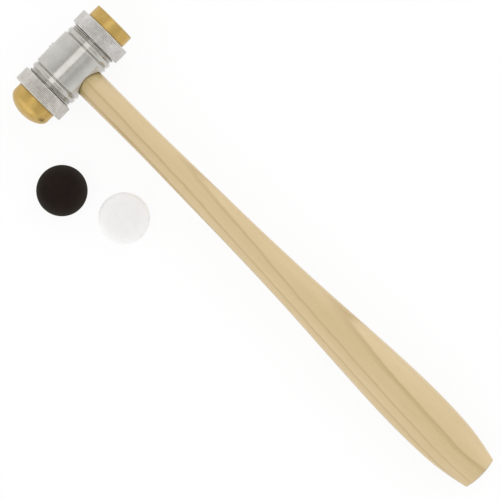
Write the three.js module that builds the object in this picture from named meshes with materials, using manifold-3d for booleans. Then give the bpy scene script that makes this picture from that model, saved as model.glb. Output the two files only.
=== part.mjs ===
// Jeweller's hammer with interchangeable striking faces, lying on its side beside its two spare faces.
// A turned steel head carries a threaded spigot at each end. A knurled screw cap traps the flange of
// a brass face against each spigot, and a screw through the far side holds the wooden handle in its socket.
// Millimetres, +X along the handle from head to butt, +Y along the head towards the flat face, +Z up.

import * as THREE from "three";
import { mergeVertices } from "three/addons/utils/BufferGeometryUtils.js";
import Module from "manifold-3d";

const wasm = await Module();
wasm.setup();

// Striking faces: a flange that the cap traps and a boss that stands out through its lip.
const bossDiameter = 18.2;
const flangeRim = 1.1;
const flangeThickness = 1.6;
const flangeEdge = 0.2;
const flatProud = 5.35;
const flatEdge = 0.45;
const domeWallProud = 3.4;
const domeHeight = 5.2;
const spareEdge = 1.3;
const spareBackEdge = 1.2;

// Screw caps: a knurled rim, a bore over the spigot and a lip that holds the face's flange.
const capLength = 6.1;
const capWall = 0.62;
const capEdge = 0.3;
const capLip = 1;
const capBoreEdge = 0.15;
const capStandOff = 2.25;
const knurlTeeth = 114;
const knurlDepth = 0.28;

// Head: one turning, alike at both ends, bored from one side for the handle.
const barrelDiameter = 22.3;
const barrelLength = 15.5;
const grooveWidth = 1.2;
const grooveDepth = 0.85;
const collarWidth = 1.6;
const collarShoulder = 0.2;
const collarEdge = 0.25;
const threadEdge = 0.5;
const reliefWidth = 1.2;
const reliefDepth = 0.7;
const socketDiameter = 12.4;
const socketWall = 4.6;
const socketCountersink = 0.5;

// Handle: round where it fills the socket, swelling to an oval grip, with a shoulder drawn in to the butt.
const handleReach = 229;
const neckLength = 36;
const waistThickness = 11.2;
const swellStart = 0.43;
const swellWidth = 14.4;
const swellThickness = 12.4;
const gripFromButt = 37;
const gripWidth = 22.3;
const gripThickness = 16.4;
const shoulderStart = 0.6;
const shoulderWidth = 20.6;
const shoulderThickness = 15.2;
const buttWidth = 16;
const buttThickness = 12.1;
const buttRound = 2.6;

// Screw that holds the handle, through the head's far side into the end of the tenon.
const screwHeadDiameter = 3.2;
const screwHeadDepth = 1.3;
const screwProud = 0.4;
const screwDiameter = 2.2;
const screwLength = 14;
const screwPoint = 2;
const slotWidth = 0.55;
const slotDepth = 0.6;

// Clearances between pieces.
const flangeClearance = 0.5;
const threadClearance = 0.25;
const lipClearance = 0.3;
const seatGap = 0.2;
const socketClearance = 0.25;
const screwClearance = 0.15;

// Where the middles of the spare faces lie, from the middle of the head.
const blackFaceAt = new THREE.Vector2(31.95, -37.8);
const whiteFaceAt = new THREE.Vector2(57.1, -28.1);

// Facets round a turned piece, round the handle, along a fillet and along the handle.
const turnedFacets = 48;
const handleFacets = 28;
const filletSteps = 4;
const domeSteps = 9;
const handleSteps = 40;

// Places along the head's axis, from its middle.
const collarStart = barrelLength / 2 + grooveWidth;
const collarEnd = collarStart + collarWidth;
const capBack = collarEnd + capStandOff;
const capFront = capBack + capLength;
const flangeFront = capFront - capLip - seatGap;
const flangeBack = flangeFront - flangeThickness;
const spigotEnd = flangeBack - seatGap;
const flatEnd = capFront + flatProud;

// Radii that follow from one another, from the face's boss out to the tops of the cap's teeth.
const bossRadius = bossDiameter / 2;
const flangeRadius = bossRadius + flangeRim;
const threadRadius = flangeRadius + flangeClearance;
const boreRadius = threadRadius + threadClearance;
const capRadius = boreRadius + capWall + knurlDepth;
const barrelRadius = barrelDiameter / 2;
const tenonRadius = socketDiameter / 2 - socketClearance;

// Depths along the handle's axis, from the middle of the head towards its far side.
const socketFloor = barrelRadius - socketWall;
const tenonEnd = socketFloor - socketClearance;
const screwSeat = barrelRadius - screwHeadDepth;
const screwTop = barrelRadius + screwProud;
const screwTip = screwTop - screwLength;

const plain = (color, roughness, metalness) =>
  new THREE.MeshStandardMaterial({ color, roughness, metalness });
const platedSteel = plain(0xb9b6b0, 0.28, 1);
const knurledSteel = plain(0xbfbbb6, 0.45, 1);
const brass = plain(0xc8a55f, 0.3, 1);
const paleWood = plain(0xd6bf93, 0.6, 0);
const blackFibre = plain(0x241c17, 0.5, 0);
const whiteNylon = plain(0xecebe9, 0.45, 0);
const screwSteel = plain(0x9a9a98, 0.4, 1);

// A closed geometry as a solid for joining and cutting.
function solidOf(geometry) {
  const bare = geometry.clone();
  bare.deleteAttribute("normal");
  bare.deleteAttribute("uv");
  const merged = mergeVertices(bare, 1e-5);
  return new wasm.Manifold(
    new wasm.Mesh({
      numProp: 3,
      vertProperties: merged.attributes.position.array,
      triVerts: new Uint32Array(merged.index.array),
    }),
  );
}

// A solid as a geometry for a mesh.
function geometryOf(solid) {
  const { vertProperties, triVerts } = solid.getMesh();
  const geometry = new THREE.BufferGeometry();
  geometry.setAttribute("position", new THREE.BufferAttribute(vertProperties, 3));
  geometry.setIndex(new THREE.BufferAttribute(triVerts, 1));
  return geometry;
}

function mesh(name, geometry, material) {
  const piece = new THREE.Mesh(geometry, material);
  piece.name = name;
  return piece;
}

const at = (radius, along) => new THREE.Vector2(radius, along);

// A quarter of an ellipse that turns an outline from running along the axis to running across it.
function fillet(centreRadius, centreAlong, reach, height, steps) {
  return new THREE.EllipseCurve(centreRadius, centreAlong, reach, height, 0, Math.PI / 2)
    .getPoints(steps);
}

// Turned about the head's axis from an outline that runs up its outside.
const turned = (outline) => new THREE.LatheGeometry(outline, turnedFacets);

// Turned about the handle's axis from an outline that runs towards the head's far side.
const turnedAcross = (outline) => turned(outline).rotateZ(Math.PI / 2);

// The head, turned from a half outline that is mirrored about the middle, with the handle's socket
// bored from one side and the screw's hole from the other.
function headBody() {
  const collar = threadRadius + collarShoulder;
  const barrelEnd = barrelLength / 2;
  const half = [
    at(barrelRadius, barrelEnd),
    at(barrelRadius - grooveDepth, barrelEnd + grooveWidth / 2),
    at(collar - collarEdge, collarStart),
    at(collar, collarStart + collarEdge),
    at(collar, collarEnd - collarEdge),
    at(collar - collarEdge, collarEnd),
    at(threadRadius - reliefDepth, collarEnd + reliefWidth / 2),
    at(threadRadius, collarEnd + reliefWidth),
    at(threadRadius, spigotEnd - threadEdge),
    at(threadRadius - threadEdge, spigotEnd),
    at(0, spigotEnd),
  ];
  const otherHalf = half.map((p) => at(p.x, -p.y)).reverse();
  const socket = socketDiameter / 2;
  const mouth = barrelRadius - socketCountersink;
  const beyond = barrelRadius + socketCountersink;
  const hole = screwDiameter / 2 + screwClearance;
  const headHole = screwHeadDiameter / 2 + screwClearance;
  const bore = turnedAcross([
    at(0, -beyond),
    at(socket + 2 * socketCountersink, -beyond),
    at(socket, -mouth),
    at(socket, socketFloor),
    at(hole, socketFloor),
    at(hole, screwSeat - screwClearance),
    at(headHole, screwSeat - screwClearance),
    at(headHole, beyond),
    at(0, beyond),
  ]);
  const blank = turned([...otherHalf, ...half]);
  return geometryOf(solidOf(blank).subtract(solidOf(bore)));
}

// A ring of points about the head's axis, as many as there are radii.
function ring(along, radii) {
  return radii.map((radius, i) => {
    const angle = (i / radii.length) * 2 * Math.PI;
    return new THREE.Vector3(radius * Math.sin(angle), along, radius * Math.cos(angle));
  });
}

// Triangles of the band from one ring to the next, which may have another number of points.
function band(from, to) {
  const triangles = [];
  let i = 0;
  let j = 0;
  while (i < from.length || j < to.length) {
    const here = [from[i % from.length], to[j % to.length]];
    const onFrom = (i + 1) / from.length <= (j + 1) / to.length;
    const next = onFrom ? from[++i % from.length] : to[++j % to.length];
    triangles.push(here[0], next, here[1]);
  }
  return triangles;
}

// A screw cap: straight teeth round the outside with bevelled ends, a lip in front and a bore behind.
function screwCap() {
  const opening = bossRadius + lipClearance;
  const lipBack = capFront - capLip;
  const teeth = Array.from({ length: 2 * knurlTeeth }, (_, i) => capRadius - (i % 2) * knurlDepth);
  const bevelled = teeth.map(() => capRadius - capEdge);
  const round = (along, radius) => ring(along, new Array(turnedFacets).fill(radius));
  const rings = [
    ring(capBack, bevelled),
    ring(capBack + capEdge, teeth),
    ring(capFront - capEdge, teeth),
    ring(capFront, bevelled),
    round(capFront, opening),
    round(lipBack, opening),
    round(lipBack, boreRadius),
    round(capBack + capBoreEdge, boreRadius),
    round(capBack, boreRadius + capBoreEdge),
  ];
  const skin = rings.flatMap((from, i) => band(from, rings[(i + 1) % rings.length]));
  return new THREE.BufferGeometry().setFromPoints(skin);
}

// The flange that every striking face has, from the middle of its back to the foot of its boss. Its back
// edge is a bevel with one step, and rounded with more.
function flangeOutline(edge, steps) {
  const back = fillet(flangeRadius - edge, flangeBack + edge, edge, -edge, steps);
  return [at(0, flangeBack), ...back.reverse(), at(flangeRadius, flangeFront), at(bossRadius, flangeFront)];
}
const bevelledFlange = flangeOutline(flangeEdge, 1);
const roundedFlange = flangeOutline(spareBackEdge, filletSteps);

// A flat striking face with a rounded rim.
function flatFace(flange, rim) {
  const round = fillet(bossRadius - rim, flatEnd - rim, rim, rim, filletSteps);
  return turned([...flange, ...round, at(0, flatEnd)]);
}

// A domed striking face: a short wall under half an ellipse.
function domedFace() {
  const dome = fillet(0, capFront + domeWallProud, bossRadius, domeHeight, domeSteps);
  dome.at(-1).x = 0;
  return turned([...bevelledFlange, ...dome]);
}

// Half sizes of the handle along its length, as a curve through (place, half width, half thickness).
function handleCurve() {
  const waistAt = barrelRadius + neckLength;
  const gripAt = handleReach - gripFromButt;
  const swellAt = waistAt + swellStart * (gripAt - waistAt);
  const shoulderAt = gripAt + shoulderStart * gripFromButt;
  const station = (along, width, thickness) => new THREE.Vector3(along, width / 2, thickness / 2);
  return new THREE.CatmullRomCurve3([
    station(0, 2 * tenonRadius, 2 * tenonRadius),
    station(waistAt, 2 * tenonRadius, waistThickness),
    station(swellAt, swellWidth, swellThickness),
    station(gripAt, gripWidth, gripThickness),
    station(shoulderAt, shoulderWidth, shoulderThickness),
    station(handleReach - buttRound, buttWidth, buttThickness),
  ]);
}

// Sections of the handle from its tenon to its rounded butt, as (place, half width, half thickness).
function handleSections() {
  const along = handleCurve().getSpacedPoints(handleSteps);
  const first = along[0].clone().setX(-tenonEnd);
  const last = along[along.length - 1];
  const round = [];
  for (let i = 1; i <= filletSteps; i++) {
    const angle = (i / filletSteps) * (Math.PI / 2);
    const drawnIn = buttRound * (1 - Math.cos(angle));
    const place = last.x + buttRound * Math.sin(angle);
    round.push(new THREE.Vector3(place, last.y - drawnIn, last.z - drawnIn));
  }
  return [first, ...along, ...round];
}

// Oval rings joined along the handle and closed at both ends.
function loft(sections) {
  const points = [];
  for (const { x, y, z } of sections) {
    for (let i = 0; i < handleFacets; i++) {
      const angle = (i / handleFacets) * 2 * Math.PI;
      points.push(x, y * Math.cos(angle), z * Math.sin(angle));
    }
  }
  const faces = [];
  for (let ring = 0; ring + 1 < sections.length; ring++) {
    for (let i = 0; i < handleFacets; i++) {
      const a = ring * handleFacets + i;
      const b = ring * handleFacets + ((i + 1) % handleFacets);
      faces.push(a, b, a + handleFacets, b, b + handleFacets, a + handleFacets);
    }
  }
  const lastRing = (sections.length - 1) * handleFacets;
  for (let i = 1; i + 1 < handleFacets; i++) {
    faces.push(0, i + 1, i);
    faces.push(lastRing, lastRing + i, lastRing + i + 1);
  }
  const geometry = new THREE.BufferGeometry();
  geometry.setAttribute("position", new THREE.Float32BufferAttribute(points, 3));
  geometry.setIndex(faces);
  return geometry;
}

// The handle, with a hole for the screw in the end of its tenon.
function handle() {
  const hole = screwDiameter / 2 + screwClearance;
  const pilot = turnedAcross([
    at(0, screwTip - screwClearance),
    at(hole, screwTip + screwPoint - screwClearance),
    at(hole, barrelRadius),
    at(0, barrelRadius),
  ]);
  return geometryOf(solidOf(loft(handleSections())).subtract(solidOf(pilot)));
}

// The screw, with a bevelled head that stands a little proud and a slot across it.
function handleScrew() {
  const shank = screwDiameter / 2;
  const head = screwHeadDiameter / 2;
  const whole = turnedAcross([
    at(0, screwTip),
    at(shank, screwTip + screwPoint),
    at(shank, screwSeat),
    at(head, screwSeat),
    at(head, barrelRadius),
    at(head - screwProud, screwTop),
    at(0, screwTop),
  ]);
  const slot = new THREE.BoxGeometry(2 * slotDepth, slotWidth, 2 * screwHeadDiameter)
    .translate(-screwTop, 0, 0);
  return geometryOf(solidOf(whole).subtract(solidOf(slot)));
}

// How far the handle drops about the head's axis until its grip touches the surface under the caps.
function restingTilt() {
  const drops = handleSections()
    .filter((section) => section.x > capRadius)
    .map(({ x, z }) => Math.atan2(x, z) - Math.acos(capRadius / Math.hypot(x, z)));
  return Math.min(...drops);
}

// One end of the head: its screw cap and the face that the cap holds.
function cappedEnd(capName, face) {
  const end = new THREE.Group();
  end.add(mesh(capName, screwCap(), knurledSteel), face);
  return end;
}

// A spare face lying on its striking side, with its flange up.
function spareFace(name, place, material) {
  const geometry = flatFace(roundedFlange, spareEdge).translate(0, -flatEnd, 0).rotateX(-Math.PI / 2);
  const face = mesh(name, geometry, material);
  face.position.set(place.x, place.y, 0);
  return face;
}

const hammer = new THREE.Group();
hammer.position.z = capRadius;
hammer.rotation.y = restingTilt();
hammer.add(mesh("head_body", headBody(), platedSteel));
hammer.add(mesh("handle", handle(), paleWood));
hammer.add(mesh("handle_screw", handleScrew(), screwSteel));
hammer.add(cappedEnd("flat_cap", mesh("brass_flat_face", flatFace(bevelledFlange, flatEdge), brass)));
const domeEnd = cappedEnd("dome_cap", mesh("brass_domed_face", domedFace(), brass));
domeEnd.rotation.z = Math.PI;
hammer.add(domeEnd);

const hammerSet = new THREE.Group();
hammerSet.add(hammer);
hammerSet.add(spareFace("black_fibre_face", blackFaceAt, blackFibre));
hammerSet.add(spareFace("white_nylon_face", whiteFaceAt, whiteNylon));

// The origin is on the surface, in the middle of the set's footprint.
const footprint = new THREE.Box3().setFromObject(hammerSet, true);
const middle = footprint.getCenter(new THREE.Vector3());
hammerSet.position.set(-middle.x, -middle.y, -footprint.min.z);

export default hammerSet;
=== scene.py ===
import bpy
import numpy as np
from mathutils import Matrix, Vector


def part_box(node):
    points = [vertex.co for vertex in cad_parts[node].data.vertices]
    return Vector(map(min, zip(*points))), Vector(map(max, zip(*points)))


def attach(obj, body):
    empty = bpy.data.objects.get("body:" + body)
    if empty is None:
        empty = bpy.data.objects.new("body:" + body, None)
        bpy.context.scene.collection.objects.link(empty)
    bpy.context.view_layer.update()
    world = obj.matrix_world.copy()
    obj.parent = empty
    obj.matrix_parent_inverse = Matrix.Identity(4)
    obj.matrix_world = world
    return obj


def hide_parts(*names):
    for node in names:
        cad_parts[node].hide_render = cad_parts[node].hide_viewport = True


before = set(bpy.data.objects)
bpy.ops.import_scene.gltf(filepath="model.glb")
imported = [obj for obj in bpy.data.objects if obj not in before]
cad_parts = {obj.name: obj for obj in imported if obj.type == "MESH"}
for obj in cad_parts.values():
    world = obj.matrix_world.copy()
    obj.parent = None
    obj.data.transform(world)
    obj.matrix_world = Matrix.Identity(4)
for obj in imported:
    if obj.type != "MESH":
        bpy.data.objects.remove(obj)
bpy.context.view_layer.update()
print("frame loaded:", len(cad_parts), "nodes")

mm = 0.001
turn = 2 * np.pi
tiny = 1e-9  # keeps a length off zero before it divides


def middleOf(nodeName):
    low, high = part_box(nodeName)
    return 0.5 * (np.array(low) + np.array(high))


headMiddle = middleOf("head_body")  # in metres, on the head's axis, which runs along Y
headPlace = headMiddle / mm


def addObject(name, data):
    thing = bpy.data.objects.new(name, data)
    bpy.context.scene.collection.objects.link(thing)
    return thing


# Camera straight above, as in the photograph: the handle runs down to the right.
cameraSetup = {"place": (-0.00735, 0.0101, 1.0), "turnDegrees": 45, "lens": 180.6, "sensor": 36,
               "clip": (0.05, 10)}


def addCamera(setup):
    data = bpy.data.cameras.new("overhead_camera")
    data.lens = setup["lens"]
    data.sensor_width = setup["sensor"]
    data.clip_start, data.clip_end = setup["clip"]
    camera = addObject("overhead_camera", data)
    camera.location = setup["place"]
    camera.rotation_euler = (0, 0, np.radians(setup["turnDegrees"]))
    bpy.context.scene.camera = camera


addCamera(cameraSetup)
bpy.context.scene.view_settings.view_transform = "Standard"
print("camera set")


# Shader nodes: values may be plain numbers or the outputs of other nodes.
def addNode(tree, kind, inputs=None, **settings):
    node = tree.nodes.new(kind)
    for key, value in settings.items():
        setattr(node, key, value)
    for key, value in (inputs or {}).items():
        if isinstance(value, bpy.types.NodeSocket):
            tree.links.new(value, node.inputs[key])
        else:
            node.inputs[key].default_value = value
    return node


def mathNode(tree, operation, first, second=0.0, clamp=False):
    return addNode(tree, "ShaderNodeMath", {0: first, 1: second},
                   operation=operation, use_clamp=clamp).outputs[0]


def vectorNode(tree, operation, first, second=(0, 0, 0)):
    return addNode(tree, "ShaderNodeVectorMath", {0: first, 1: second}, operation=operation).outputs


def splitNode(tree, vector):
    return addNode(tree, "ShaderNodeSeparateXYZ", {0: vector}).outputs


def objectPlace(tree):
    return addNode(tree, "ShaderNodeTexCoord").outputs["Object"]


def attributeNode(tree, name):
    return addNode(tree, "ShaderNodeAttribute", attribute_name=name).outputs["Fac"]


def greyNode(tree, level):
    return addNode(tree, "ShaderNodeCombineColor", {0: level, 1: level, 2: level}).outputs[0]


def mixColour(tree, share, first, second, blend="MIX"):
    first, second = (colour if isinstance(colour, bpy.types.NodeSocket) else (*colour, 1)
                     for colour in (first, second))
    return addNode(tree, "ShaderNodeMix", {0: share, 6: first, 7: second},
                   data_type="RGBA", blend_type=blend).outputs[2]


# A number moved from one span to another and held at the ends.
def spanNode(tree, value, fromSpan, toSpan=(0.0, 1.0)):
    return addNode(tree, "ShaderNodeMapRange", {
        "Value": value, "From Min": fromSpan[0], "From Max": fromSpan[1],
        "To Min": toSpan[0], "To Max": toSpan[1]}).outputs[0]


# A second colour over the first, by as much as a value says.
def overlay(tree, tone, colour, value, cut, share=(0.0, 1.0)):
    return mixColour(tree, spanNode(tree, value, cut, share), tone, colour)


# An amount that varies over the surface, as another value says.
def uneven(tree, amount, value, cut, share):
    return mathNode(tree, "MULTIPLY", amount, spanNode(tree, value, cut, share))


# A ramp of greys through rows of (place, level), over a span of places.
def rampNode(tree, value, span, rows):
    ramp = addNode(tree, "ShaderNodeValToRGB", {0: spanNode(tree, value, span)})
    low, high = span
    stops = ramp.color_ramp.elements
    while len(stops) < len(rows):
        stops.new(0.5)
    for stop, (place, level) in zip(stops, rows):
        stop.position = (place - low) / (high - low)
        stop.color = (level, level, level, 1)
    return ramp.outputs[0]


# Noise on Object coordinates, in features a metre along each axis.
def noiseNode(tree, perMetre, detail, roughness):
    scaled = addNode(tree, "ShaderNodeMapping", {"Vector": objectPlace(tree), "Scale": perMetre})
    return addNode(tree, "ShaderNodeTexNoise", {
        "Vector": scaled.outputs[0], "Scale": 1.0, "Detail": detail, "Roughness": roughness}).outputs[0]


# A row of fine tool marks: noise of one number, so that the marks run right round a turned piece.
def markNode(tree, travel, perUnit, detail=3.0, roughness=0.6):
    return addNode(tree, "ShaderNodeTexNoise", {
        "W": mathNode(tree, "MULTIPLY", travel, perUnit), "Scale": 1.0, "Detail": detail,
        "Roughness": roughness}, noise_dimensions="1D").outputs[0]


def bumpNode(tree, height, distance):
    return addNode(tree, "ShaderNodeBump", {
        "Height": height, "Distance": distance, "Strength": 1.0}).outputs[0]


def newMaterial(name):
    material = bpy.data.materials.new(name)
    material.use_nodes = True
    tree = material.node_tree
    return material, tree, tree.nodes["Principled BSDF"]


def dressShader(tree, shader, colour, roughness, normal, metallic=0.0):
    tree.links.new(colour, shader.inputs["Base Color"])
    tree.links.new(roughness, shader.inputs["Roughness"])
    tree.links.new(normal, shader.inputs["Normal"])
    shader.inputs["Metallic"].default_value = metallic


# In every finish a noise is (features a metre along each axis, detail, roughness), a cut is the stretch
# of a noise that counts, and a share or shade is what the cut's two ends become. Depths are in metres.

# Finish of the head: polished plate with fine turning marks round the barrel. Painted shade darkens the
# thread in the corner behind each cap, at a distance in mm from the middle of the head.
platedFinish = {
    "light": (0.60, 0.585, 0.55), "dark": (0.53, 0.515, 0.48), "cornerShade": (0.07, 0.065, 0.055),
    "cloud": ((260, 260, 260), 4, 0.5), "cloudCut": (0.35, 0.7),
    "marksPerMetre": 9000, "markCut": (0.35, 0.65), "markShade": (0.95, 1.0), "markDepth": 0.0000035,
    "cornerShadeStarts": (12.15, 12.55), "cornerShadeShare": (0.0, 0.5), "cornerShadeEnds": (12.9, 13.6), "cornerShadeLeft": (1.0, 0.3),
    "smudge": ((900, 500, 900), 3, 0.6), "smudgeCut": (0.3, 0.75), "roughness": (0.10, 0.19)}


def platedSteel(finish):
    material, tree, shader = newMaterial("plated_steel")
    along = splitNode(tree, objectPlace(tree))[1]
    marks = markNode(tree, along, finish["marksPerMetre"])
    cloud = noiseNode(tree, *finish["cloud"])
    smudge = noiseNode(tree, *finish["smudge"])
    tone = overlay(tree, finish["light"], finish["dark"], cloud, finish["cloudCut"])
    faint = greyNode(tree, spanNode(tree, marks, finish["markCut"], finish["markShade"]))
    tone = mixColour(tree, 1.0, tone, faint, "MULTIPLY")
    # Painted shade in the corner of the thread behind each cap, by distance in mm from the head's middle.
    fromMiddle = mathNode(tree, "ABSOLUTE", mathNode(tree, "SUBTRACT", along, headMiddle[1]))
    fromMiddle = mathNode(tree, "DIVIDE", fromMiddle, mm)
    cornerShadeAmount = spanNode(tree, fromMiddle, finish["cornerShadeStarts"], finish["cornerShadeShare"])
    cornerShadeAmount = uneven(tree, cornerShadeAmount, fromMiddle, finish["cornerShadeEnds"], finish["cornerShadeLeft"])
    tone = mixColour(tree, cornerShadeAmount, tone, finish["cornerShade"])
    rough = spanNode(tree, smudge, finish["smudgeCut"], finish["roughness"])
    dressShader(tree, shader, tone, rough, bumpNode(tree, marks, finish["markDepth"]), metallic=1.0)
    return material


# Finish of the screw caps: satin plate, duller and with painted shade down between the teeth, and with a
# painted highlight on the edges. Painted shade makes one cap darker than the other.
knurlFinish = {
    "light": (0.69, 0.671, 0.645), "dark": (0.617, 0.598, 0.572), "valley": (0.39, 0.376, 0.355),
    "edge": (0.79, 0.776, 0.752), "capShade": (0.975, 0.96, 0.93),
    "cloud": ((420, 420, 420), 4, 0.6), "cloudCut": (0.3, 0.7),
    "valleyShadeCut": (0.25, 0.75), "valleyShadeShare": (0.45, 0.95), "edgeCut": (0.3, 0.6), "edgeSpread": (0.9, 0.4),
    "roughness": (0.42, 0.53), "valleyRoughness": 0.1, "marksPerMm": 7.0, "markDepth": 0.000004}


def knurledSteel(finish):
    material, tree, shader = newMaterial("knurled_steel")
    valley = attributeNode(tree, "valley")
    marks = markNode(tree, attributeNode(tree, "travel"), finish["marksPerMm"])
    cloud = noiseNode(tree, *finish["cloud"])
    tone = overlay(tree, finish["light"], finish["dark"], cloud, finish["cloudCut"])
    # Painted shade down between the teeth.
    paintedShadeAmount = uneven(tree, valley, cloud, finish["valleyShadeCut"], finish["valleyShadeShare"])
    tone = mixColour(tree, paintedShadeAmount, tone, finish["valley"])
    # Painted highlight on the edges.
    edgeAmount = uneven(tree, attributeNode(tree, "edge"), cloud, finish["edgeCut"], finish["edgeSpread"])
    tone = mixColour(tree, edgeAmount, tone, finish["edge"])
    # Painted shade makes the domed end's cap darker.
    tone = mixColour(tree, attributeNode(tree, "capShade"), tone, finish["capShade"], "MULTIPLY")
    rough = mathNode(tree, "ADD", spanNode(tree, cloud, finish["cloudCut"], finish["roughness"]),
                     mathNode(tree, "MULTIPLY", valley, finish["valleyRoughness"]))
    dressShader(tree, shader, tone, rough, bumpNode(tree, marks, finish["markDepth"]), metallic=1.0)
    return material


# Finish of the brass faces: turned and satin, a little tarnished, darkest on the rims, with painted shade
# by the caps' lips.
brassFinish = {
    "light": (0.645, 0.45, 0.154), "dark": (0.555, 0.375, 0.112), "tarnish": (0.53, 0.325, 0.085),
    "edge": (0.40, 0.30, 0.135), "lipShade": (0.20, 0.14, 0.06),
    "cloud": ((330, 330, 330), 5, 0.6), "cloudCut": (0.32, 0.68),
    "spots": ((1500, 1500, 1500), 3, 0.6), "spotCut": (0.56, 0.72), "spotShare": (0.0, 0.45),
    "marksPerMm": 9.0, "markDetail": 4.0, "markCut": (0.3, 0.7), "markShare": (0.0, 0.22),
    "markDepth": 0.000006, "edgeCut": (0.3, 0.6), "edgeSpread": (0.8, 0.3),
    "lipShadeCut": (0.3, 0.7), "lipShadeShare": (0.9, 0.6), "roughCut": (0.3, 0.7), "roughness": (0.34, 0.44)}


def turnedBrass(finish):
    material, tree, shader = newMaterial("turned_brass")
    marks = markNode(tree, attributeNode(tree, "travel"), finish["marksPerMm"], finish["markDetail"])
    cloud = noiseNode(tree, *finish["cloud"])
    spots = noiseNode(tree, *finish["spots"])
    tone = overlay(tree, finish["light"], finish["dark"], cloud, finish["cloudCut"])
    tone = overlay(tree, tone, finish["tarnish"], spots, finish["spotCut"], finish["spotShare"])
    tone = overlay(tree, tone, finish["tarnish"], marks, finish["markCut"], finish["markShare"])
    edgeAmount = uneven(tree, attributeNode(tree, "edge"), cloud, finish["edgeCut"], finish["edgeSpread"])
    tone = mixColour(tree, edgeAmount, tone, finish["edge"])
    # Painted shade on the boss next to the cap's lip.
    paintedShadeAmount = uneven(tree, attributeNode(tree, "lipShade"), cloud, finish["lipShadeCut"], finish["lipShadeShare"])
    tone = mixColour(tree, paintedShadeAmount, tone, finish["lipShade"])
    rough = spanNode(tree, cloud, finish["roughCut"], finish["roughness"])
    dressShader(tree, shader, tone, rough, bumpNode(tree, marks, finish["markDepth"]), metallic=1.0)
    return material


# Finish of the handle: pale lacquered wood. Growth rings are layers that lean half way between flat and
# upright and cross the handle at a small angle to its length, so each shows as a long line that wanders
# from edge to edge. Rows of rings are (place across the layers in mm from the head's middle, strength,
# fade in mm), and reaches are in mm too.
woodFinish = {
    "pale": (0.65, 0.506, 0.283), "warm": (0.60, 0.453, 0.236), "late": (0.46, 0.328, 0.142),
    "pore": (0.44, 0.305, 0.125), "stainAndShade": (0.37, 0.28, 0.07), "seamShade": (0.26, 0.20, 0.085),
    "endGrain": (0.38, 0.29, 0.19),
    "rings": [(-8.0, 0.7, 1.2), (-3.6, 0.8, 1.0), (0.3, 1.0, 2.4), (4.51, 0.95, 1.0),
              (8.59, 0.9, 0.7), (14.4, 0.95, 1.6), (18.8, 0.6, 1.2)],
    "ringLean": (0.0518, 0.7346, 0.6765), "ringSpan": (-16.0, 24.0),
    "ringGrey": 0.16, "ringPeak": 0.1, "ringEnd": 0.3,
    "wander": ((16, 70, 70), 2, 0.45), "wanderReach": (-0.9, 0.9),
    "tremble": ((110, 260, 260), 3, 0.6), "trembleReach": (-0.35, 0.35),
    "cloud": ((22, 90, 90), 3, 0.5), "cloudCut": (0.3, 0.7),
    "fibres": ((38, 2300, 2300), 4, 0.62), "fibreCut": (0.3, 0.7), "fibreShare": (0.0, 0.5),
    "lateShare": (0.7, 1.0), "fineFibres": ((140, 7000, 7000), 2, 0.5),
    "pores": ((130, 3000, 3000), 2, 0.5), "poreCut": (0.61, 0.72), "poreLine": (0.0, 0.5),
    "poreShare": (0.35, 0.9), "poreStrength": 0.5,
    # Painted shade with some lacquer stain beside the head, and painted shade in the seam: reaches in mm
    # from the head's axis.
    "stainAndShadeReach": (10.7, 14.5), "stainAndShadeShare": (0.6, 0.0),
    "seamShadeReach": (10.0, 10.7), "seamShadeShare": (0.95, 0.0),
    "endFacing": (0.5, 0.95), "endShare": (0.0, 0.85),
    "fibreDepth": 0.000012, "fineHeight": 0.5, "poreDepth": 0.8,
    "roughness": (0.38, 0.50), "coatWeight": 0.5, "coatRoughness": 0.2}


# How far across the layers a place lies, in mm: its part along their lean, with a slow and a quick waver.
def acrossRings(tree, place, finish):
    across = vectorNode(tree, "DOT_PRODUCT", place, finish["ringLean"])["Value"]
    across = mathNode(tree, "DIVIDE", across, mm)
    for waver in ("wander", "tremble"):
        noise = noiseNode(tree, *finish[waver])
        across = mathNode(tree, "ADD", across, spanNode(tree, noise, (0.0, 1.0), finish[waver + "Reach"]))
    return across


# Wood darkens slowly through a ring, is darkest just before the ring's place, ends in a thin line and
# starts pale again.
def ringLines(tree, across, finish):
    rows = []
    for place, strength, fade in finish["rings"]:
        rows.append((place - fade, finish["ringGrey"]))
        rows.append((place - finish["ringPeak"], strength))
        rows.append((place + finish["ringEnd"], 0.0))
    return rampNode(tree, across, finish["ringSpan"], rows)


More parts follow.
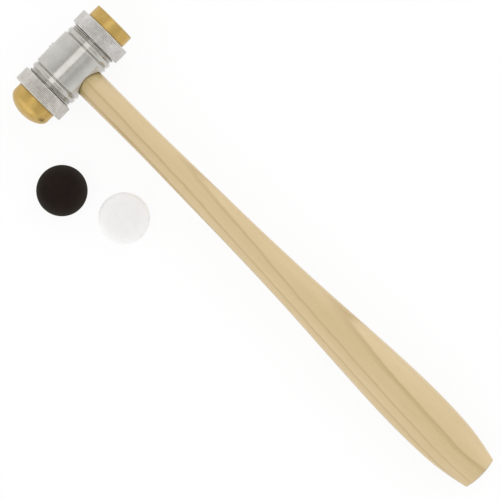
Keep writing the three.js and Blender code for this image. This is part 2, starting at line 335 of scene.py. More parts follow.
def paleWood(finish):
    material, tree, shader = newMaterial("pale_wood")
    place = vectorNode(tree, "ADD", objectPlace(tree), tuple(-headMiddle))[0]
    line = ringLines(tree, acrossRings(tree, place, finish), finish)
    cloud = noiseNode(tree, *finish["cloud"])
    fibres = noiseNode(tree, *finish["fibres"])
    fineFibres = noiseNode(tree, *finish["fineFibres"])
    pores = spanNode(tree, noiseNode(tree, *finish["pores"]), finish["poreCut"])
    pores = uneven(tree, pores, line, finish["poreLine"], finish["poreShare"])
    tone = overlay(tree, finish["pale"], finish["warm"], cloud, finish["cloudCut"])
    tone = overlay(tree, tone, finish["warm"], fibres, finish["fibreCut"], finish["fibreShare"])
    late = uneven(tree, line, fibres, finish["fibreCut"], finish["lateShare"])
    tone = mixColour(tree, late, tone, finish["late"])
    poreShade = mathNode(tree, "MULTIPLY", pores, finish["poreStrength"])
    tone = mixColour(tree, poreShade, tone, finish["pore"])
    # Painted shade, with some lacquer stain, darkens the wood beside the head, and a darker band of
    # painted shade lies in the seam, all along its saddle: the distance is from the head's axis.
    beside = vectorNode(tree, "MULTIPLY", place, (1 / mm, 0, 1 / mm))[0]
    fromAxis = vectorNode(tree, "LENGTH", beside)["Value"]
    tone = overlay(tree, tone, finish["stainAndShade"], fromAxis, finish["stainAndShadeReach"], finish["stainAndShadeShare"])
    tone = overlay(tree, tone, finish["seamShade"], fromAxis, finish["seamShadeReach"], finish["seamShadeShare"])
    # End grain drinks more lacquer and shows darker.
    facing = splitNode(tree, addNode(tree, "ShaderNodeNewGeometry").outputs["Normal"])[0]
    facing = mathNode(tree, "ABSOLUTE", facing)
    tone = overlay(tree, tone, finish["endGrain"], facing, finish["endFacing"], finish["endShare"])
    rough = spanNode(tree, fibres, finish["fibreCut"], finish["roughness"])
    height = mathNode(tree, "ADD", fibres, mathNode(tree, "MULTIPLY", fineFibres, finish["fineHeight"]))
    height = mathNode(tree, "SUBTRACT", height, mathNode(tree, "MULTIPLY", pores, finish["poreDepth"]))
    dressShader(tree, shader, tone, rough, bumpNode(tree, height, finish["fibreDepth"]))
    shader.inputs["Coat Weight"].default_value = finish["coatWeight"]
    shader.inputs["Coat Roughness"].default_value = finish["coatRoughness"]
    return material


# Finish of the handle's screw: bright zinc, scratched by the screwdriver.
screwFinish = {
    "light": (0.58, 0.575, 0.56), "dark": (0.44, 0.43, 0.41),
    "cloud": ((900, 900, 900), 5, 0.65), "cloudCut": (0.35, 0.7),
    "scratches": ((1200, 9000, 1500), 2, 0.5), "scratchCut": (0.5, 0.7), "scratchShare": (0.0, 0.4),
    "scratchDepth": 0.00001, "roughCut": (0.3, 0.7), "roughness": (0.24, 0.42)}


def brightZinc(finish):
    material, tree, shader = newMaterial("bright_zinc")
    cloud = noiseNode(tree, *finish["cloud"])
    scratches = noiseNode(tree, *finish["scratches"])
    tone = overlay(tree, finish["light"], finish["dark"], cloud, finish["cloudCut"])
    tone = overlay(tree, tone, finish["dark"], scratches, finish["scratchCut"], finish["scratchShare"])
    rough = spanNode(tree, cloud, finish["roughCut"], finish["roughness"])
    normal = bumpNode(tree, scratches, finish["scratchDepth"])
    dressShader(tree, shader, tone, rough, normal, metallic=1.0)
    return material


# Finish of the spare faces: turned plastic with faint rings, and painted light that makes the rim paler.
# The two differ in colour and gloss.
plasticFinish = {
    "cloud": ((300, 300, 300), 4, 0.55), "cloudCut": (0.32, 0.68),
    "marksPerMm": 6.0, "markCut": (0.35, 0.7), "markShare": (0.0, 0.4),
    "specks": ((4200, 4200, 4200), 2, 0.5), "speckCut": (0.63, 0.72), "speckShare": (0.0, 0.5),
    "edgeCut": (0.3, 0.65), "edgeSpread": (1.0, 0.8), "roughCut": (0.3, 0.7),
    "subsurfaceRadius": (0.01, 0.0094, 0.0088)}
fibreFinish = plasticFinish | {
    "name": "black_fibre", "light": (0.0125, 0.006, 0.004), "dark": (0.0085, 0.004, 0.0025),
    "speck": (0.028, 0.02, 0.016), "edge": (0.034, 0.030, 0.024), "roughness": (0.48, 0.62),
    "specular": 0.1, "subsurface": 0.0, "markDepth": 0.000007}
nylonFinish = plasticFinish | {
    "name": "white_nylon", "light": (0.845, 0.831, 0.822), "dark": (0.807, 0.793, 0.779),
    "speck": (0.75, 0.727, 0.694), "edge": (0.94, 0.935, 0.93), "roughness": (0.30, 0.42),
    "specular": 0.5, "subsurface": 0.3, "markDepth": 0.000006}


def turnedPlastic(finish):
    material, tree, shader = newMaterial(finish["name"])
    marks = markNode(tree, attributeNode(tree, "travel"), finish["marksPerMm"])
    cloud = noiseNode(tree, *finish["cloud"])
    specks = noiseNode(tree, *finish["specks"])
    tone = overlay(tree, finish["light"], finish["dark"], cloud, finish["cloudCut"])
    tone = overlay(tree, tone, finish["dark"], marks, finish["markCut"], finish["markShare"])
    tone = overlay(tree, tone, finish["speck"], specks, finish["speckCut"], finish["speckShare"])
    # Painted light on the rim.
    edgeAmount = uneven(tree, attributeNode(tree, "rim"), cloud, finish["edgeCut"], finish["edgeSpread"])
    tone = mixColour(tree, edgeAmount, tone, finish["edge"])
    rough = spanNode(tree, marks, finish["roughCut"], finish["roughness"])
    dressShader(tree, shader, tone, rough, bumpNode(tree, marks, finish["markDepth"]))
    shader.inputs["Specular IOR Level"].default_value = finish["specular"]
    shader.inputs["Subsurface Weight"].default_value = finish["subsurface"]
    shader.inputs["Subsurface Radius"].default_value = finish["subsurfaceRadius"]
    shader.inputs["Subsurface Scale"].default_value = 1.0
    return material


headSteel = platedSteel(platedFinish)
capSteel = knurledSteel(knurlFinish)
faceBrass = turnedBrass(brassFinish)
handleWood = paleWood(woodFinish)
screwZinc = brightZinc(screwFinish)
spareFibre = turnedPlastic(fibreFinish)
spareNylon = turnedPlastic(nylonFinish)
print("materials made")


# Quads of a grid that is closed round its columns. Rows join to the next one, and the last to the
# first where the profile is closed.
def gridQuads(rows, columns, closed):
    row = np.arange(rows if closed else rows - 1)[:, None]
    column = np.arange(columns)[None, :]
    above, beside = (row + 1) % rows, (column + 1) % columns
    corners = (row * columns + column, row * columns + beside,
               above * columns + beside, above * columns + column)
    return np.stack(np.broadcast_arrays(*corners), -1).reshape(-1, 4)


# A mesh from a grid of points in mm. Where the profile is open, its first and last rows have shrunk
# to a point each, and a fan of triangles closes the surface there.
def addSurface(name, grid, material, closed=False, sharpDegrees=32, values=None):
    rows, columns = grid.shape[:2]
    if closed:
        points, faces = grid.reshape(-1, 3), gridQuads(rows, columns, True).tolist()
    else:
        points = np.vstack([grid[1:-1].reshape(-1, 3), grid[0, :1], grid[-1, :1]])
        column = np.arange(columns)
        beside = (column + 1) % columns
        lastRow = (rows - 3) * columns
        startPole, endPole = len(points) - 2, len(points) - 1
        startFan = np.stack([np.full(columns, startPole), beside, column], -1)
        endFan = np.stack([np.full(columns, endPole), lastRow + column, lastRow + beside], -1)
        faces = gridQuads(rows - 2, columns, False).tolist() + startFan.tolist() + endFan.tolist()
    mesh = bpy.data.meshes.new(name)
    mesh.from_pydata((points * mm).tolist(), [], faces)
    for key, value in (values or {}).items():
        spread = np.broadcast_to(value, (rows, columns)).astype(np.float32)
        flat = spread.ravel() if closed else np.r_[spread[1:-1].ravel(), spread[0, 0], spread[-1, 0]]
        mesh.attributes.new(key, "FLOAT", "POINT").data.foreach_set("value", np.ascontiguousarray(flat))
    mesh.shade_smooth()
    mesh.set_sharp_from_angle(angle=np.radians(sharpDegrees))
    mesh.materials.append(material)
    return addObject(name, mesh)


# Cuts one closed piece out of another and keeps the result as the first one's mesh.
def cutAway(piece, cutter, sharpDegrees):
    modifier = piece.modifiers.new("cut", "BOOLEAN")
    modifier.operation, modifier.solver, modifier.object = "DIFFERENCE", "EXACT", cutter
    bpy.context.view_layer.update()
    cut = bpy.data.meshes.new_from_object(piece.evaluated_get(bpy.context.evaluated_depsgraph_get()))
    cut.name = piece.name
    piece.modifiers.remove(modifier)
    whole, piece.data = piece.data, cut
    bpy.data.meshes.remove(whole)
    bpy.data.objects.remove(cutter)
    cut.shade_smooth()
    cut.set_sharp_from_angle(angle=np.radians(sharpDegrees))


# Says which body the piece moves with and which node it stands for.
def finishPiece(piece, body, node):
    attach(piece, body)
    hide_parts(node)
    piece.data.calc_loop_triangles()
    print(piece.name, "made with", len(piece.data.loop_triangles), "triangles")


# An outline with its corners eased: every corner becomes a parabola that leaves each side a given
# reach away from it, or just short of half way. Rows of corners are (radius, along, reach).
def easedOutline(corners, closed=False, steps=6, mostShare=0.49, leastStep=1e-5):
    corners = np.array(corners, float)
    points, reach = corners[:, :2], corners[:, 2:]
    before, after = np.roll(points, 1, 0), np.roll(points, -1, 0)
    if not closed:
        before[0], after[-1] = points[0], points[-1]
    toBefore, toAfter = before - points, after - points
    lengthBefore = np.maximum(np.linalg.norm(toBefore, axis=1, keepdims=True), tiny)
    lengthAfter = np.maximum(np.linalg.norm(toAfter, axis=1, keepdims=True), tiny)
    start = points + toBefore * np.minimum(reach / lengthBefore, mostShare)
    end = points + toAfter * np.minimum(reach / lengthAfter, mostShare)
    share = np.linspace(0, 1, steps)[None, :, None]
    curve = ((1 - share) ** 2 * start[:, None] + 2 * share * (1 - share) * points[:, None]
             + share ** 2 * end[:, None])
    outline = curve.reshape(-1, 2)
    step = np.linalg.norm(np.diff(outline, axis=0), axis=1)
    return outline[np.r_[True, step > leastStep]]


# How far along its outline each point lies, in mm: the sum of the steps up to it.
def travelOf(outline):
    return np.r_[0, np.cumsum(np.linalg.norm(np.diff(outline, axis=0), axis=1))]


# The same outline with extra points, so that no step is longer than the given length where its
# place along the axis is within the span.
def refined(outline, longest, spanLow=-np.inf, spanHigh=np.inf, leastStep=1e-4):
    travel = travelOf(outline)
    extra = np.arange(0, travel[-1], longest)
    along = np.interp(extra, travel, outline[:, 1])
    at = np.unique(np.r_[travel, extra[(along > spanLow) & (along < spanHigh)]])
    at = at[np.r_[True, np.diff(at) > leastStep]]
    return np.column_stack([np.interp(at, travel, outline[:, 0]), np.interp(at, travel, outline[:, 1])])


# How much an outline bulges at each point: the turn towards its own inside, spread over its
# neighbours, from 0 on the flat to 1 on a tight outer corner.
def edgeOf(outline, closed=False, gain=5):
    ahead = np.roll(outline, -1, 0) - outline
    behind = outline - np.roll(outline, 1, 0)
    bend = behind[:, 0] * ahead[:, 1] - behind[:, 1] * ahead[:, 0]
    bend /= np.maximum(np.linalg.norm(ahead, axis=1) * np.linalg.norm(behind, axis=1), tiny)
    if not closed:
        bend[[0, -1]] = 0
    bulge = np.clip(bend * gain, 0, 1)
    return np.maximum(bulge, 0.5 * (np.roll(bulge, 1) + np.roll(bulge, -1)))[:, None]


# Even angles round one turn, as a row.
def angles(columns):
    return np.linspace(0, turn, columns, endpoint=False)[None, :]


# A grid of points from three coordinates, each spread over all rows and columns.
def pointGrid(x, y, z):
    return np.stack(np.broadcast_arrays(x, y, z), -1)


# A surface of revolution about the head's axis: each row is a ring at its place along the axis, with
# its own radius at every angle from straight up.
def aboutHead(radius, along, angle):
    return pointGrid(radius * np.sin(angle), along, radius * np.cos(angle))


# The same about an upright axis.
def aboutUpright(radius, along, angle):
    return pointGrid(radius * np.cos(angle), radius * np.sin(angle), along)


# Ovals across the handle's axis, which leads away from the head along X: half the width times the
# cosine to the side, and half the thickness times the sine upwards.
def ovalsAlong(place, wide, thick, angle):
    return pointGrid(place, wide * np.cos(angle), thick * np.sin(angle))


# A surface of revolution about the handle's axis. Rows are (radius, place).
def aboutHandle(rows, angle):
    return ovalsAlong(rows[:, 1:], rows[:, :1], rows[:, :1], angle)


# Half a turn about an upright axis takes a piece of the flat end to the domed end.
def atOtherEnd(grid):
    return grid * (-1, -1, 1)


# All shapes are in mm. Round sizes are radii, and places count from the head's middle.

# A right-hand screw thread: 1 on its crest and 0 at its root, with straight flanks. The nearest crest
# is a whole number of pitches out from the head's middle, less the share of a turn round the axis.
# The two ends of the head are half a turn of one another about the upright.
threadShape = {"pitch": 1.25, "halfCrest": 0.08, "flank": 0.4, "crest": 10.68, "root": 9.99, "start": 0.6,
               "boreRoot": 10.76, "boreCrest": 10.14, "slack": 0.04}


def threadRidge(along, angle, shape, offset=0.0, narrower=0.0):
    place = np.abs(along) / shape["pitch"] - np.sign(along) * angle / turn + shape["start"] + offset
    away = np.abs(place - np.round(place)) * shape["pitch"]
    return np.clip((shape["halfCrest"] + shape["flank"] - narrower - away) / shape["flank"], 0, 1)


# Head: one turning, alike at both ends, with a blind socket for the handle. A bevel is (drop, length),
# or one number at 45 degrees.
headShape = {
    "columns": 224, "plainStep": 0.5, "threadStep": 0.07, "sharpDegrees": 32,
    "barrel": 11.15, "barrelEnd": 7.75, "barrelEase": 0.22,
    "groove": 10.3, "relief": 10.0, "reliefAt": 11.15, "rootEase": 0.08,
    "collar": 10.9, "collarStart": 8.95, "collarEnd": 10.55, "collarBevel": (0.1, 0.3),
    "collarEase": 0.16, "bevelEase": 0.25,
    "threadFrom": 11.75, "threadEase": 0.1, "spigotEnd": 15.9, "spigotBevel": 0.6,
    "spigotEases": (0.15, 0.12),
    "socketColumns": 128, "socket": 6.2, "socketFloor": -6.55, "floorBevel": 0.3, "boreEnd": 5,
    "mouthRows": 20, "mouthDepth": 2.2, "mouthFlare": 0.67, "mouthPast": 0.6, "saddleMargin": 1,
    "screwHole": 1.2, "screwHead": 1.66, "screwSeat": -9.8, "cutterPast": 2}


# Half of the outline runs from the middle of the barrel outwards, and the other half mirrors it. Each
# row is a ring of its outline's radius, and beyond the relief at most the thread's radius there.
def turnedHead(shape):
    crest, root = threadShape["crest"], threadShape["root"]
    drop, length = shape["collarBevel"]
    beforeBevel, afterBevel = shape["spigotEases"]
    half = np.array([
        (shape["barrel"], shape["barrelEnd"], shape["barrelEase"]),
        (shape["groove"], 0.5 * (shape["barrelEnd"] + shape["collarStart"]), shape["rootEase"]),
        (shape["collar"] - drop, shape["collarStart"], shape["collarEase"]),
        (shape["collar"], shape["collarStart"] + length, shape["bevelEase"]),
        (shape["collar"], shape["collarEnd"] - length, shape["bevelEase"]),
        (shape["collar"] - drop, shape["collarEnd"], shape["collarEase"]),
        (shape["relief"], shape["reliefAt"], shape["rootEase"]),
        (crest, shape["threadFrom"], shape["threadEase"]),
        (crest, shape["spigotEnd"] - shape["spigotBevel"], beforeBevel),
        (crest - shape["spigotBevel"], shape["spigotEnd"], afterBevel),
        (0, shape["spigotEnd"], 0)])
    corners = np.vstack([half[::-1] * (1, -1, 1), half])
    outline = refined(easedOutline(corners), shape["plainStep"])
    outline = refined(outline, shape["threadStep"], shape["reliefAt"], shape["spigotEnd"])
    outline = refined(outline, shape["threadStep"], -shape["spigotEnd"], -shape["reliefAt"])
    angle = angles(shape["columns"])
    radius, along = outline[:, :1], outline[:, 1:]
    threaded = root + (crest - root) * threadRidge(along, angle, threadShape)
    cutsThread = np.abs(along) > shape["reliefAt"]
    radius = np.where(cutsThread, np.minimum(radius, threaded), radius)
    return aboutHead(radius, along, angle)


# The cutter for the handle's socket and the screw's hole: round steps along the handle's axis. Its
# mouth follows the barrel's saddle, and its radius grows there as the square of the way up to it, so
# that the edge is eased alike all round.
def socketCutter(shape):
    angle = angles(shape["socketColumns"])
    barrel, socket, floor = shape["barrel"], shape["socket"], shape["socketFloor"]
    outside = barrel + shape["cutterPast"]
    steps = np.array([
        (0, -outside), (shape["screwHead"], -outside), (shape["screwHead"], shape["screwSeat"]),
        (shape["screwHole"], shape["screwSeat"]), (shape["screwHole"], floor),
        (socket - shape["floorBevel"], floor), (socket, floor + shape["floorBevel"]),
        (socket, 0), (socket, shape["boreEnd"])])
    depth = np.linspace(-shape["mouthDepth"], shape["mouthPast"], shape["mouthRows"])[:, None]
    bore = socket + shape["mouthFlare"] * (depth + shape["mouthDepth"]) ** 2 / shape["mouthDepth"]
    up = bore * np.sin(angle)
    saddle = np.sqrt(barrel ** 2 - np.minimum(np.abs(up), barrel - shape["saddleMargin"]) ** 2)
    mouth = pointGrid(saddle + depth, bore * np.cos(angle), up)
    rim = mouth[-1:] * (0, 1, 1) + (outside, 0, 0)
    pole = mouth[-1:] * 0 + (outside, 0, 0)
    return np.vstack([aboutHandle(steps, angle), mouth, rim, pole])


# Handle: oval sections with smooth half sizes along its length. Rows of sections are (place from the
# head's axis, whole width, whole thickness).
handleShape = {
    "columns": 128, "rows": 300, "rimSteps": 10, "crownSteps": 13, "sharpDegrees": 50,
    "tenonEnd": -6.3, "tenonEase": 0.4, "pilot": 1.25, "pilotEnd": 2.6,
    "rimRound": 0.5, "crown": 1.0, "bellyFrom": 30,
    "sections": [
        (0, 12.0, 12.0), (11, 11.9, 11.9), (25, 11.72, 11.45), (47, 11.74, 11.2),
        (63, 12.35, 11.32), (79, 12.92, 11.56), (95, 13.55, 11.94), (126, 15.78, 13.15),
        (158, 19.52, 15.02), (176, 21.45, 15.98), (192, 22.3, 16.4), (205, 21.78, 16.04),
        (213, 20.66, 15.24), (220.8, 18.25, 13.58), (225.5, 16.28, 12.27), (227.5, 15.4, 11.65)]}


# Smooth values through stations: cubic pieces, each with the slopes of the parabolas through its
# stations and their neighbours.
def smoothThrough(stations, values, at):
    gap = np.diff(stations)
    rise = np.diff(values) / gap
    inner = (rise[:-1] * gap[1:] + rise[1:] * gap[:-1]) / (gap[:-1] + gap[1:])
    slope = np.r_[rise[0], inner, rise[-1]]
    which = np.clip(np.searchsorted(stations, at) - 1, 0, len(gap) - 1)
    share = (at - stations[which]) / gap[which]
    return ((1 + 2 * share) * (1 - share) ** 2 * values[which]
            + share * (1 - share) ** 2 * gap[which] * slope[which]
            + share ** 2 * (3 - 2 * share) * values[which + 1]
            + share ** 2 * (share - 1) * gap[which] * slope[which + 1])


# Even places along the handle, with half its width and half its thickness there.
def handleHalves(shape):
    place, width, thickness = np.array(shape["sections"], float).T
    at = np.linspace(0, place[-1], shape["rows"])
    return at, 0.5 * smoothThrough(place, width, at), 0.5 * smoothThrough(place, thickness, at)


# The handle drops about the head's axis until its belly meets the surface that the caps stand on: the
# least angle that any point of its underside can drop by.
def restingTilt(shape):
    at, _, thick = handleHalves(shape)
    beyond = at > shape["bellyFrom"]
    reach = np.hypot(at[beyond], thick[beyond])
    return np.min(np.arctan2(at[beyond], thick[beyond]) - np.arccos(headPlace[2] / reach))


handleTilt = restingTilt(handleShape)


# A grid about the handle's axis, turned about the head's axis to the handle's tilt and set in its place.
def onHandle(grid):
    x, y, z = np.moveaxis(grid, -1, 0)
    sine, cosine = np.sin(handleTilt), np.cos(handleTilt)
    return pointGrid(x * cosine + z * sine, y, z * cosine - x * sine) + headPlace


# Ovals along the handle: the tenon ends flat with the screw's hole in it. The butt has a rounded rim,
# and its end swells outwards as one less the square of the share of the way out from its middle.
def ovalHandle(shape):
    angle = angles(shape["columns"])
    at, wide, thick = (values[:, None] for values in handleHalves(shape))
    end, ease, pilot = shape["tenonEnd"], shape["tenonEase"], shape["pilot"]
    neck = wide[0, 0]
    tenon = np.array([
        (0, shape["pilotEnd"]), (pilot, shape["pilotEnd"] - pilot), (pilot, end),
        (neck - ease, end), (neck, end + ease), (neck, end / 2)])
    slant = np.arctan(2 * shape["crown"] / wide[-1, 0])
    roll = np.linspace(0, np.pi / 2 - slant, shape["rimSteps"])[1:, None]
    drawnIn = shape["rimRound"] * (1 - np.cos(roll))
    rimPlace = at[-1] + shape["rimRound"] * np.sin(roll)
    rimWide, rimThick = wide[-1] - drawnIn, thick[-1] - drawnIn
    close = np.linspace(1, 0, shape["crownSteps"])[1:, None]
    crown = rimPlace[-1] + shape["crown"] * (1 - close ** 2)
    return np.vstack([
        aboutHandle(tenon, angle), ovalsAlong(at, wide, thick, angle),
        ovalsAlong(rimPlace, rimWide, rimThick, angle),
        ovalsAlong(crown, close * rimWide[-1], close * rimThick[-1], angle)])


# Screw: a point, a threaded shank and a domed head that stands a little proud, with a slot across it.
screwShape = {
    "columns": 96, "shankRows": 130, "domeRows": 14, "sharpDegrees": 40,
    "tip": 2.45, "point": 2.0, "shank": 1.1, "core": 0.75, "pitch": 0.9, "flankSlope": 5,
    "threadEnd": -5.0, "plainFrom": -5.4, "seat": -9.85,
    "head": 1.6, "headEase": 0.1, "headEdge": -11.0, "domeTop": -11.55,
    "slotColumns": 48, "slotHalf": 0.27, "slotDepth": 0.6, "slotReach": 3, "slotPower": 0.3}


# The thread's ridge falls off in a straight line from each crest, its radius shrinks evenly to the
# point, and the head's dome is a quarter of an ellipse.
def slottedScrew(shape):
    angle = angles(shape["columns"])
    bare = np.linspace(shape["tip"], shape["threadEnd"], shape["shankRows"])[:, None]
    taper = np.clip((shape["tip"] - bare) / shape["point"], 0, 1)
    place = bare / shape["pitch"] + angle / turn
    ridge = np.clip(1 - shape["flankSlope"] * np.abs(place - np.round(place)), 0, 1)
    radius = taper * (shape["core"] + (shape["shank"] - shape["core"]) * ridge)
    rise = np.linspace(0, np.pi / 2, shape["domeRows"])
    dome = np.column_stack([shape["head"] * np.cos(rise),
                            shape["headEdge"] + (shape["domeTop"] - shape["headEdge"]) * np.sin(rise)])
    dome[-1, 0] = 0
    head = np.vstack([[
        (shape["shank"], shape["plainFrom"]), (shape["shank"], shape["seat"]),
        (shape["head"] - shape["headEase"], shape["seat"]),
        (shape["head"], shape["seat"] - shape["headEase"])], dome])
    return np.vstack([ovalsAlong(bare, radius, radius, angle), aboutHandle(head, angle)])[::-1]


# The slot's cutter: a bar across the screw's head. Its section is a box with rounded corners, a small
# power of the cosine and the sine.
def slotBar(shape):
    angle = angles(shape["slotColumns"])
    deep = np.sign(np.cos(angle)) * np.abs(np.cos(angle)) ** shape["slotPower"] * shape["slotDepth"]
    wide = np.sign(np.sin(angle)) * np.abs(np.sin(angle)) ** shape["slotPower"] * shape["slotHalf"]
    size = np.array([0, 1, 1, 0])[:, None]
    along = np.array([-1, -1, 1, 1])[:, None] * shape["slotReach"]
    return pointGrid(shape["domeTop"] + size * deep, size * wide, along)


headPiece = addSurface("turned_head", turnedHead(headShape) + headPlace, headSteel)
socketBar = addSurface("socket_bar", onHandle(socketCutter(headShape)), headSteel)
cutAway(headPiece, socketBar, headShape["sharpDegrees"])
finishPiece(headPiece, "hammer", "head_body")

handlePiece = addSurface("oval_handle", onHandle(ovalHandle(handleShape)), handleWood,
                         sharpDegrees=handleShape["sharpDegrees"])
finishPiece(handlePiece, "hammer", "handle")

screwPiece = addSurface("slotted_screw", onHandle(slottedScrew(screwShape)), screwZinc)
slotCutter = addSurface("slot_bar", onHandle(slotBar(screwShape)), screwZinc)
cutAway(screwPiece, slotCutter, screwShape["sharpDegrees"])
finishPiece(screwPiece, "hammer", "handle_screw")

# Screw caps: straight teeth round the outside, a lip in front and a threaded bore behind.
capShape = {
    "teeth": 114, "columnsPerTooth": 8, "toothDepth": 0.28, "outside": 11.85,
    "back": 12.8, "front": 18.9, "bevel": 0.3, "opening": 9.4, "lip": 1.0,
    "easeSteps": 5, "ease": 0.1, "backEase": 0.08, "openingEase": 0.16,
    "boreBevel": 0.3, "boreStep": 0.1, "threadRelief": 1.9, "threadRunOut": 0.5,
    "hair": 0.02}  # how near to the bore counts as on it


# Down between the teeth: 0 on a tooth's rounded crest and 1 in the hollow, as a cosine of the angle.
def toothValley(angle, shape):
    return 0.5 - 0.5 * np.cos(angle * shape["teeth"])


# Each row is a ring of its outline's radius: outside, at most the radius of the teeth, and in the bore,
# the radius of its thread.
def knurledCap(shape):
    bore, boreCrest = threadShape["boreRoot"], threadShape["boreCrest"]
    outside, bevel, boreBevel = shape["outside"], shape["bevel"], shape["boreBevel"]
    back, front = shape["back"], shape["front"]
    lipBack = front - shape["lip"]
    corners = [
        (outside - bevel, back, shape["backEase"]),
        (outside, back + bevel, shape["ease"]),
        (outside, front - bevel, shape["ease"]),
        (outside - bevel, front, shape["ease"]),
        (shape["opening"], front, shape["openingEase"]),
        (shape["opening"], lipBack, shape["ease"]),
        (bore, lipBack, shape["ease"]),
        (bore, back + boreBevel, shape["backEase"]),
        (bore + boreBevel, back, shape["backEase"])]
    outline = easedOutline(corners, closed=True, steps=shape["easeSteps"])
    onBore = (np.abs(outline[:, 0] - bore) < shape["hair"]) & (outline[:, 1] < lipBack - shape["hair"])
    boreFrom = np.argmax(onBore)
    outline = np.vstack([outline[:boreFrom], refined(outline[boreFrom:], shape["boreStep"])])
    inBore = (np.arange(len(outline)) >= boreFrom)[:, None]
    angle = angles(shape["teeth"] * shape["columnsPerTooth"])
    radius, along = outline[:, :1], outline[:, 1:]
    valley = toothValley(angle, shape)
    toothed = outside - shape["toothDepth"] * valley
    # The bore's ridge lies half a pitch from the spigot's, and runs out short of the face's flange.
    runOut = np.clip((lipBack - shape["threadRelief"] - along) / shape["threadRunOut"], 0, 1)
    ridge = threadRidge(along, angle, threadShape, offset=0.5, narrower=threadShape["slack"]) * runOut
    threaded = bore - (bore - boreCrest) * ridge
    onTeeth = (radius > outside - shape["toothDepth"]) & ~inBore
    values = {"valley": valley * onTeeth, "travel": travelOf(outline)[:, None],
              "edge": edgeOf(outline, closed=True) * ~inBore}
    radius = np.where(inBore & (radius < bore + shape["hair"]), threaded, np.minimum(radius, toothed))
    return aboutHead(radius, along, angle), values


# Striking faces: a flange that the cap traps, and a boss that stands out through its lip.
faceShape = {
    "columns": 192, "step": 0.3, "easeSteps": 9, "backRows": 14, "domeRows": 48,
    "boss": 9.1, "flange": 10.2, "flangeBack": 16.1, "flangeFront": 17.7,
    "backEase": 0.22, "frontEase": 0.16, "rootEase": 0.12, "flatEnd": 24.25, "flatEase": 0.5,
    "domeStart": 22.3, "domeHeight": 5.2, "spareEase": 1.5, "spareBack": (2.4, 1.2),
    # Painted shade by the cap's lip starts and fades at these distances in mm, and painted light on the
    # rim grows with this power.
    "lipShadeFrom": 0.1, "lipShadeReach": 0.4, "rimPower": 6}


# Corners of the flange, from the middle of its back to the root of the boss.
def flangeCorners(shape):
    return [(0, shape["flangeBack"], 0), (shape["flange"], shape["flangeBack"], shape["backEase"]),
            (shape["flange"], shape["flangeFront"], shape["frontEase"]),
            (shape["boss"], shape["flangeFront"], shape["rootEase"])]


# Corners of a flat striking end, from its rim to its middle.
def flatEndCorners(shape, ease):
    return [(shape["boss"], shape["flatEnd"], ease), (0, shape["flatEnd"], 0)]


# A turned face from its outline, with the values that its finish reads. Painted shade falls off as a bell
# curve from where a fitted face comes out of its cap, and painted light on the rim grows as a power of
# the radius.
def turnedFace(outline, shape, about):
    radius, along = outline[:, :1], outline[:, 1:]
    fromLip = (along - capShape["front"] - shape["lipShadeFrom"]) / shape["lipShadeReach"]
    values = {"travel": travelOf(outline)[:, None], "edge": edgeOf(outline),
              "lipShade": np.exp(-fromLip ** 2), "rim": (radius / shape["flange"]) ** shape["rimPower"]}
    return about(radius, along, angles(shape["columns"])), values


# A flat face: straight lines from the flange's corners to those of its end, each corner eased.
def flatOutline(shape):
    corners = flangeCorners(shape) + flatEndCorners(shape, shape["flatEase"])
    return refined(easedOutline(corners, steps=shape["easeSteps"]), shape["step"])


# A spare's back edge is rounded as a quarter of an ellipse: its radius grows as the sine, and its place
# as one less the cosine, of one angle.
def spareOutline(shape):
    wide, high = shape["spareBack"]
    roll = np.linspace(0, np.pi / 2, shape["backRows"])
    back = np.column_stack([shape["flange"] - wide + wide * np.sin(roll),
                            shape["flangeBack"] + high - high * np.cos(roll)])
    corners = [(*back[-1], 0)] + flangeCorners(shape)[2:] + flatEndCorners(shape, shape["spareEase"])
    front = easedOutline(corners, steps=shape["easeSteps"])
    return refined(np.vstack([[(0, shape["flangeBack"])], back[:-1], front]), shape["step"])


# The dome is half an ellipse over a short wall: its radius falls as the cosine and its height grows
# as the sine of one angle.
def domedOutline(shape):
    rise = np.linspace(0, np.pi / 2, shape["domeRows"])
    dome = np.column_stack([shape["boss"] * np.cos(rise),
                            shape["domeStart"] + shape["domeHeight"] * np.sin(rise)])
    dome[-1, 0] = 0
    wall = np.vstack([easedOutline(flangeCorners(shape)), dome[:1]])
    return np.vstack([refined(wall, shape["step"]), dome[1:]])


capGrid, capValues = knurledCap(capShape)
flatCap = addSurface("flat_end_cap", capGrid + headPlace, capSteel, closed=True,
                     values=capValues | {"capShade": 0.0})
finishPiece(flatCap, "flat_screw_cap", "flat_cap")
# The domed end's cap gets painted shade.
domeCap = addSurface("domed_end_cap", atOtherEnd(capGrid) + headPlace, capSteel, closed=True,
                     values=capValues | {"capShade": 1.0})
finishPiece(domeCap, "dome_screw_cap", "dome_cap")

flatGrid, flatValues = turnedFace(flatOutline(faceShape), faceShape, aboutHead)
flatBrass = addSurface("flat_brass", flatGrid + headPlace, faceBrass, values=flatValues)
finishPiece(flatBrass, "flat_face", "brass_flat_face")
domeGrid, domeValues = turnedFace(domedOutline(faceShape), faceShape, aboutHead)
domedBrass = addSurface("domed_brass", atOtherEnd(domeGrid) + headPlace, faceBrass, values=domeValues)
finishPiece(domedBrass, "domed_face", "brass_domed_face")


# A spare face lies on its striking side with its flange up, in the middle of its node's footprint: it is
# turned over by half a turn about X.
def addSpare(name, node, body, material):
    grid, values = turnedFace(spareOutline(faceShape), faceShape, aboutUpright)
    middle = middleOf(node) / mm
    grid = grid * (1, -1, -1) + (middle[0], middle[1], faceShape["flatEnd"])
    finishPiece(addSurface(name, grid, material, values=values), body, node)


addSpare("black_spare", "black_fibre_face", "black_face", spareFibre)
addSpare("white_spare", "white_nylon_face", "white_face", spareNylon)

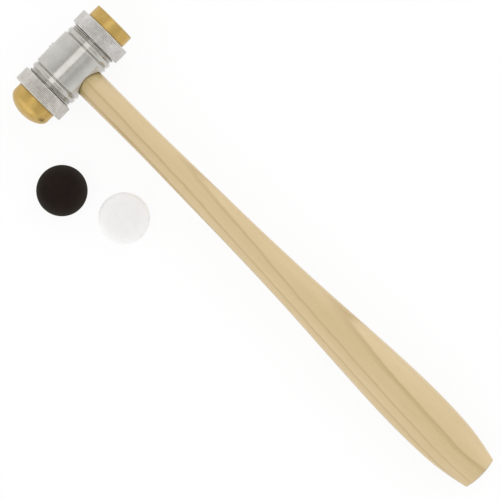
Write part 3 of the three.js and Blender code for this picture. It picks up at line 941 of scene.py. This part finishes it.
# Studio: a white floor and a light tent whose level changes from the head's side to the handle's side.
# It is brighter beyond the head's two ends. Rows of the tent are (X of the direction, level).
studio = {
    "floorSize": 6.0, "floorColour": (0.97, 0.97, 0.97), "floorRoughness": 0.9, "whiteShare": 0.9,
    "tent": [(-1.0, 0.98), (-0.81, 0.87), (-0.454, 0.70), (0.16, 0.72), (0.242, 0.775), (0.375, 0.83),
             (0.616, 0.66), (0.83, 0.83), (0.966, 0.98)],
    "endSpan": (0.4, 0.85), "domeGlow": 0.65, "flatGlow": 0.85,
    "stripLean": 6.5, "stripAway": 1.3, "stripSize": (0.6, 1.8), "stripGlow": 0.6}


# The floor keeps the object's shadow and is mostly plain white to the camera and in reflections.
def addFloor(setup):
    half = setup["floorSize"] / 2
    corners = [(-half, -half, 0), (half, -half, 0), (half, half, 0), (-half, half, 0)]
    mesh = bpy.data.meshes.new("floor")
    mesh.from_pydata(corners, [], [(0, 1, 2, 3)])
    material, tree, shader = newMaterial("white_floor")
    shader.inputs["Base Color"].default_value = (*setup["floorColour"], 1)
    shader.inputs["Roughness"].default_value = setup["floorRoughness"]
    shader.inputs["Specular IOR Level"].default_value = 0.0
    rays = addNode(tree, "ShaderNodeLightPath").outputs
    seen = mathNode(tree, "ADD", rays["Is Camera Ray"], rays["Is Glossy Ray"])
    seen = mathNode(tree, "ADD", seen, rays["Is Transmission Ray"], clamp=True)
    share = mathNode(tree, "MULTIPLY", seen, setup["whiteShare"])
    white = addNode(tree, "ShaderNodeEmission", {"Color": (1, 1, 1, 1), "Strength": 1.0})
    mix = addNode(tree, "ShaderNodeMixShader", {0: share, 1: shader.outputs[0], 2: white.outputs[0]})
    tree.links.new(mix.outputs[0], tree.nodes["Material Output"].inputs["Surface"])
    mesh.materials.append(material)
    addObject("floor", mesh)


def addTent(setup):
    world = bpy.data.worlds.new("light_tent")
    world.use_nodes = True
    bpy.context.scene.world = world
    tree = world.node_tree
    x, y, _ = splitNode(tree, addNode(tree, "ShaderNodeTexCoord").outputs["Generated"])
    tent = rampNode(tree, x, (-1.0, 1.0), setup["tent"])
    starts, ends = setup["endSpan"]
    glow = mathNode(tree, "ADD", spanNode(tree, y, (-starts, -ends), (0.0, setup["domeGlow"])),
                    spanNode(tree, y, (starts, ends), (0.0, setup["flatGlow"])))
    level = mixColour(tree, 1.0, tent, greyNode(tree, glow), "ADD")
    cameraRay = addNode(tree, "ShaderNodeLightPath").outputs["Is Camera Ray"]
    back = tree.nodes["Background"]
    tree.links.new(mixColour(tree, cameraRay, level, (1, 1, 1)), back.inputs["Color"])
    back.inputs["Strength"].default_value = 1.0


# A long strip light over the head, leaning a little away from the handle. Its power is its level times
# its area times pi.
def addStrip(setup):
    data = bpy.data.lights.new("strip_light", "AREA")
    data.shape = "RECTANGLE"
    data.size, data.size_y = setup["stripSize"]
    data.energy = setup["stripGlow"] * np.pi * data.size * data.size_y
    lamp = addObject("strip_light", data)
    lean = np.radians(setup["stripLean"])
    lamp.location = headMiddle + setup["stripAway"] * np.array((-np.sin(lean), 0, np.cos(lean)))
    lamp.rotation_euler = (0, -lean, 0)
    lamp.visible_camera = False


addFloor(studio)
addTent(studio)
addStrip(studio)
print("studio set")
